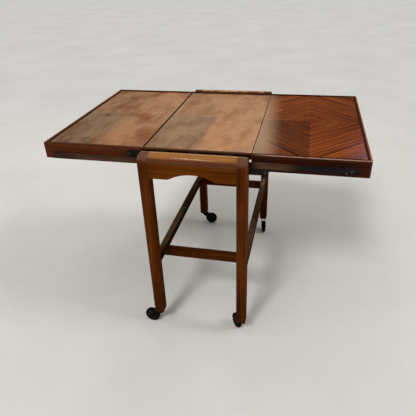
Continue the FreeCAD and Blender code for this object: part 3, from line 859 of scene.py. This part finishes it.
def rail_section(x, shrink, low, high):
    """Outline of a top rail at a place along it, drawn in by shrink at its ends."""
    bottom, top = rail_bottom + arch_height(x), high.z
    deep = high.y - low.y
    lower = rounding_steps(rail_lower_edge, 4)
    points = [(near, bottom + down) for near, down in reversed(lower)]
    points += [(near, top - down) for near, down in rounding_steps(nose_radius, 20)]
    points += [(deep - near, top - down)
               for near, down in reversed(rounding_steps(inner_edge, 5))]
    points += [(deep - near, bottom + down) for near, down in lower]
    middle, flat = (bottom + top) / 2, deep / 2
    points = [(flat + (near - flat) * (1 - shrink / flat),
               middle + (z - middle) * (1 - shrink / (top - middle))) for near, z in points]
    return [(low.y + near if low.y < 0 else high.y - near, z) for near, z in points]


def make_top_rail(node, finishes):
    """A top rail between its legs, with a bullnose along its outer edge and an arch below."""
    low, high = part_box(node)
    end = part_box(node.replace("top_rail", "right_leg"))[0].x
    reach = end - joint_arris
    stations = [(x, 0.0) for x in (
        -reach, -beside_arch, *[step * arch_step for step in range(-arch_steps, arch_steps + 1)],
        beside_arch, reach)]
    shape = bmesh.new()
    rings = []
    for x, shrink in [(-end, joint_arris), *stations, (end, joint_arris)]:
        section = rail_section(min(max(x, -reach), reach), shrink, low, high)
        rings.append([shape.verts.new((x, y, z)) for y, z in section])
    for ring, following in zip(rings, rings[1:]):
        bridge(shape, ring, following)
    shape.faces.new(rings[0])
    shape.faces.new(rings[-1])
    bmesh.ops.recalc_face_normals(shape, faces=shape.faces)
    # the inner top edge is marked for a painted highlight along it
    inner = high.y if low.y < 0 else low.y
    mark_edges(shape, [face for face in shape.faces if all(
        abs(vert.co.y - inner) < inner_edge * 1.01 and vert.co.z > high.z - inner_edge
        for vert in face.verts)])
    install_dressed(node, shape, finishes)


# -------------------- pieces
def make_woods(finishes):
    """The end frames, then rounded copies of the panels, low rails and hidden wooden pieces."""
    for node in slot_of_node:
        if node.endswith("_leg"):
            make_leg(node, finishes)
        elif node.endswith("top_rail"):
            make_top_rail(node, finishes)
    for node, slot in slot_of_node.items():
        if slot != "frame_wood" and slot.endswith(("wood", "veneer")):
            dress(node, finishes, joint_arris if "rail" in node else arris)


def dress_steel(finishes):
    """The arms and plates with their corners rounded, and the straps matt black."""
    along_y, upright = Vector((0, 1, 0)), Vector((0, 0, 1))
    for node in slot_of_node:
        if "_arm_" in node:
            dress(node, finishes, metal_arris, bar_corner, along_y)
        elif node.endswith("pivot_plates"):
            dress(node, finishes, metal_arris, plate_corner, along_y)
    dress("castor_plates", finishes, metal_arris, plate_corner, upright)
    frame["nodes"]["centre_straps"].data.materials[0] = finishes["matt_black"]


def stud_profile(length):
    """Collar, shank and a domed head, from the mounting face out."""
    head = length - stud_head_height
    collar = head - arm_thickness - 2 * face_gap
    dome = [(stud_head_radius * math.cos(turn),
             head + stud_head_height * (0.25 + 0.75 * math.sin(turn)))
            for turn in map(math.radians, (0, 22, 44, 66, 84))]
    return [(0.0, 0.0), (stud_collar_radius, 0.0), (stud_collar_radius, collar),
            (stud_radius, collar), (stud_radius, head), (stud_head_radius, head),
            *dome, (0.0, length)]


def make_studs(finishes):
    """Round headed pivot studs on the end frames and on the leaves' plates."""
    for node in slot_of_node:
        if "pivot_studs" not in node:
            continue
        studs = []
        for low, high in islands(node):
            middle = (low + high) / 2
            inward = 1 if middle.y < 0 else -1
            way = inward if node.startswith("frame") else -inward
            start = Vector((middle.x, low.y if way > 0 else high.y, middle.z))
            studs.append(turning("stud", stud_profile(high.y - low.y), start,
                                 Vector((0, way, 0)), finishes["stud_steel"], small_round))
        install(joined("round_" + node, studs), node)


def screw_nodes():
    """Slotted screw heads on points, each facing its point's way and turned by chance."""
    group = bpy.data.node_groups.new("slotted_screws", "GeometryNodeTree")
    group.interface.new_socket("Geometry", in_out="OUTPUT", socket_type="NodeSocketGeometry")
    for name, kind in (("points", "Geometry"), ("head_radius", "Float"),
                       ("head_height", "Float"), ("finish", "Material")):
        group.interface.new_socket(name, in_out="INPUT", socket_type="NodeSocket" + kind)

    def node(kind, values=None, **settings):
        made = group.nodes.new(kind)
        for name, value in settings.items():
            setattr(made, name, value)
        for name, value in (values or {}).items():
            if isinstance(value, bpy.types.NodeSocket):
                group.links.new(value, made.inputs[name])
            else:
                made.inputs[name].default_value = value
        return made.outputs

    def times(value, factor):
        return node("ShaderNodeMath", {0: value, 1: factor}, operation="MULTIPLY")["Value"]

    def vector(**parts):
        return node("ShaderNodeCombineXYZ", parts)["Vector"]

    def lifted(mesh, factor):
        return node("GeometryNodeTransform", {
            "Geometry": mesh, "Translation": vector(Z=times(height, factor))})["Geometry"]

    given = node("NodeGroupInput")
    radius, height = given["head_radius"], given["head_height"]
    disc = node("GeometryNodeMeshCylinder",
                {"Vertices": small_round, "Radius": radius, "Depth": height})["Mesh"]
    bar = node("GeometryNodeMeshCube", {
        "Size": vector(X=times(radius, 2.6), Y=times(radius, 0.3), Z=height)})["Mesh"]
    head = node("GeometryNodeMeshBoolean", {"Mesh 1": disc, "Mesh 2": lifted(bar, 0.45)},
                operation="DIFFERENCE", solver="EXACT")["Mesh"]
    turn = node("FunctionNodeRandomValue", {"Min": 0.0, "Max": math.pi, "Seed": 7},
                data_type="FLOAT")["Value"]
    turned = node("FunctionNodeEulerToRotation", {"Euler": vector(Z=turn)})["Rotation"]
    facing = node("GeometryNodeInputNamedAttribute", {"Name": "facing"},
                  data_type="FLOAT_VECTOR")["Attribute"]
    aligned = node("FunctionNodeAlignRotationToVector",
                   {"Rotation": turned, "Vector": facing}, axis="Z")["Rotation"]
    placed = node("GeometryNodeInstanceOnPoints", {
        "Points": given["points"], "Instance": lifted(head, 0.4),
        "Rotation": aligned})["Instances"]
    real = node("GeometryNodeRealizeInstances", {"Geometry": placed})["Geometry"]
    done = node("GeometryNodeSetMaterial", {
        "Geometry": real, "Material": given["finish"]})["Geometry"]
    node("NodeGroupOutput", {"Geometry": done})
    return group


def make_screws(name, body, spots, head, finish, group):
    """Screw heads of one body, from a list of (place, direction they face)."""
    points = bpy.data.meshes.new(name + "_points")
    points.from_pydata([place for place, _ in spots], [], [])
    facing = points.attributes.new("facing", "FLOAT_VECTOR", "POINT")
    for index, spot in enumerate(spots):
        facing.data[index].vector = spot[1]
    holder = shown(name + "_points", points)
    screws = holder.modifiers.new("screws", "NODES")
    screws.node_group = group
    sockets = {item.name: item.identifier for item in group.interface.items_tree
               if item.in_out == "INPUT"}
    screws[sockets["head_radius"]], screws[sockets["head_height"]] = head
    screws[sockets["finish"]] = finish
    mesh = evaluated_mesh(holder)
    bpy.data.objects.remove(holder)
    mesh.set_sharp_from_angle(angle=smooth_angle)
    made = shown(name, mesh)
    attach(made, body)


def plate_screw_spots(node):
    """Places of the two screws of each pivot plate, and the way that they face."""
    spots = []
    for low, high in islands(node):
        middle = (low + high) / 2
        face, way = (low.y, -1.0) if middle.y < 0 else (high.y, 1.0)
        for reach in plate_screw_reach:
            if high.z - low.z > high.x - low.x:
                place = (middle.x, face, low.z + reach)
            else:
                place = (high.x - reach if middle.x > 0 else low.x + reach, face, middle.z)
            spots.append((place, (0.0, way, 0.0)))
    return spots


def make_all_screws(finishes):
    """Two screws in each of the leaves' pivot plates and four in each castor plate."""
    group = screw_nodes()
    for side in ("left", "right"):
        make_screws(side + "_leaf_screws", side + "_leaf",
                    plate_screw_spots(side + "_leaf_pivot_plates"), plate_screw_head,
                    finishes["stud_steel"], group)
    off_x, off_y = castor_screw_offset
    spots = []
    for low, high in islands("castor_plates"):
        middle = (low + high) / 2
        spots += [((middle.x + x, middle.y + y, low.z), (0.0, 0.0, -1.0))
                  for x in (-off_x, off_x) for y in (-off_y, off_y)]
    make_screws("castor_plate_screws", "frame", spots, castor_screw_head,
                finishes["stud_steel"], group)


def mark_disc(wheel, centre, axis):
    """Writes 1 at a wheel's points inside its tyre and 0 elsewhere."""
    disc = wheel.data.attributes.new("disc", "FLOAT", "POINT")
    for vert in wheel.data.vertices:
        off = vert.co - centre
        disc.data[vert.index].value = (off - axis * off.dot(axis)).length < wheel_disc_radius


def axle_profile():
    """An axle with a domed rivet head at each end."""
    end = axle_half_length - axle_proud
    half = [(axle_radius, end)] + [
        (axle_head_radius * math.cos(turn), end + axle_proud * math.sin(turn))
        for turn in map(math.radians, (0, 25, 50, 75))]
    return ([(0.0, -axle_half_length)] + [(radius, -along) for radius, along in reversed(half)]
            + half + [(0.0, axle_half_length)])


def make_castors(finishes):
    """Wheels with a raised tyre and hub, riveted axles, and horns with rounded cheeks."""
    wheel_profile = half_wheel + [(radius, -along) for radius, along in reversed(half_wheel)]
    for place in ("front_left", "front_right", "rear_left", "rear_right"):
        spin = next(joint for joint in frame["joints"]
                    if joint["name"] == place + "_wheel_spin")
        axis, centre = Vector(spin["axis"]), Vector(spin["pos_m"])
        wheel = turning("tyred_" + place + "_wheel", wheel_profile, centre, axis,
                        finishes["wheel_rubber"], wheel_round)
        mark_disc(wheel, centre, axis)
        install(wheel, place + "_castor_wheel")
        install(turning("riveted_" + place + "_axle", axle_profile(), centre, axis,
                        finishes["castor_iron"], small_round), place + "_castor_axle")
        dress(place + "_castor_fork", finishes, metal_arris, cheek_corner, axis)


# -------------------- stage and camera
def make_floor():
    """A plain pale floor, wide enough to fill the view."""
    material, wire = new_finish("pale_floor")
    tone = object_place(wire).noise(1.6, 5.0, 0.6)
    close_finish(wire, tone.ramp((0.35, floor_tones[0]), (0.65, floor_tones[1])), 0.85)
    shape = bmesh.new()
    reach = 60.0
    shape.faces.new([shape.verts.new((x * reach, y * reach, 0.0))
                     for x, y in ((-1, -1), (1, -1), (1, 1), (-1, 1))])
    finished_object("studio_floor", shape, material)


def aimed(place, target):
    """Placing of a lamp that looks from one point to another."""
    way = Vector(target) - Vector(place)
    return Matrix.Translation(place) @ way.to_track_quat("-Z", "Y").to_matrix().to_4x4()


def softbox(name, place, target, size, glow, colour):
    """A wide soft lamp of a given brightness, left out of the camera's own view."""
    lamp = bpy.data.lights.new(name, "AREA")
    lamp.shape = "RECTANGLE"
    lamp.size, lamp.size_y = size
    lamp.energy = glow * math.pi * size[0] * size[1]
    lamp.color = colour
    made = shown(name, lamp)
    made.matrix_world = aimed(place, target)
    made.visible_camera = False
    return lamp


def fade(lamp, soft_x, soft_y, across, rise):
    """Softens a lamp's four edges and changes its brightness across it and up it."""
    lamp.use_nodes = True
    tree = lamp.node_tree
    tree.nodes.clear()
    wire = Wire(tree)
    x, y = wire.node("NewGeometry", output="Parametric").part(("X", "Y"))
    strength = ((x * (across[1] - across[0]) + across[0])
                * (y * (rise[1] - rise[0]) + rise[0]))
    for value, (near, far) in ((x, soft_x), (y, soft_y)):
        if near:
            strength = strength * value.spread(0.0, near)
        if far:
            strength = strength * value.spread(1.0, 1.0 - far)
    glow = wire.node("Emission", None, {"Strength": strength})
    wire.node("OutputLight", None, {"Surface": glow}, output=())


def make_suns():
    """Soft light from above, and from the front and the right, which polish doesn't show."""
    for name, place, energy, width, in_polish in (
            ("overhead_light", (0.05, 0.0, 1.0), 1.22, 95, True),
            ("front_light", (-0.27, -0.95, 1.05), 1.5, 14, False),
            ("right_light", (1.0, 0.0, 0.85), 0.75, 18, False)):
        sun = bpy.data.lights.new(name, "SUN")
        sun.energy = energy
        sun.angle = math.radians(width)
        made = shown(name, sun)
        made.matrix_world = aimed(place, (0.0, 0.0, 0.0))
        made.visible_glossy = in_polish


def make_softboxes():
    """Lamps that show in the polish."""
    back = softbox("back_softbox", (-1.32, 2.4, 1.76), (-1.32, 0.0, 1.76), (2.9, 0.94),
                   1.12, (1.0, 0.74, 0.45))
    fade(back, (0.07, 0.0), (0.0, 0.0), (1.45, 0.42), (0.62, 1.40))
    pink = softbox("pink_softbox", (1.05, 2.4, 1.95), (1.05, 0.0, 1.95), (0.8, 0.7),
                   1.0, (1.0, 0.6, 0.8))
    fade(pink, (0.4, 0.4), (0.4, 0.4), (0.8, 0.8), (0.8, 0.8))
    softbox("front_softbox", (-0.6, -3.0, 1.6), (-0.6, 0.0, 1.2), (3.4, 1.3),
            0.42, (1.0, 0.93, 0.95))
    softbox("top_lamp", (-0.60, -1.10, 3.0), (0.0, -0.39, 0.71), (0.42, 0.11),
            22.0, (1.0, 0.93, 0.80))
    softbox("top_pink_lamp", (0.40, -1.32, 3.0), (0.35, -0.34, 0.72), (0.5, 0.2),
            3.0, (1.0, 0.80, 0.75))


def make_world():
    """A dim surround, pale where the camera sees it."""
    dim, pale = (0.04, 0.04, 0.039), (0.60, 0.59, 0.57)
    world = bpy.data.worlds.new("studio")
    world.use_nodes = True
    world.node_tree.nodes.clear()
    wire = Wire(world.node_tree)
    seen = wire.node("LightPath", output="Is Camera Ray")
    glow = wire.node("Background", None, {"Color": blend(seen, dim, pale)})
    wire.node("OutputWorld", None, {"Surface": glow}, output=())
    bpy.context.scene.world = world


def make_camera():
    """The viewing angle: its place, then its heading, tilt and roll."""
    place = (0.328306, -1.534983, 1.24027)
    yaw, pitch, roll = map(math.radians, (13.711, -30.382, -2.152))
    forward = Vector((-math.sin(yaw) * math.cos(pitch), math.cos(yaw) * math.cos(pitch),
                      math.sin(pitch)))
    level = Vector((math.cos(yaw), math.sin(yaw), 0.0))
    above = level.cross(forward)
    right = level * math.cos(roll) + above * math.sin(roll)
    up = above * math.cos(roll) - level * math.sin(roll)
    data = bpy.data.cameras.new("camera")
    data.sensor_width = 36.0
    data.lens = 36.875
    camera = shown("camera", data)
    turn = Matrix((right, up, -forward)).transposed().to_4x4()
    camera.matrix_world = Matrix.Translation(place) @ turn
    bpy.context.scene.camera = camera


# -------------------- all of it
def main():
    make_camera()
    make_floor()
    make_suns()
    make_softboxes()
    make_world()
    bpy.context.scene.view_settings.view_transform = "Standard"
    finishes = make_finishes()
    make_woods(finishes)
    dress_steel(finishes)
    make_studs(finishes)
    make_castors(finishes)
    make_all_screws(finishes)


main()
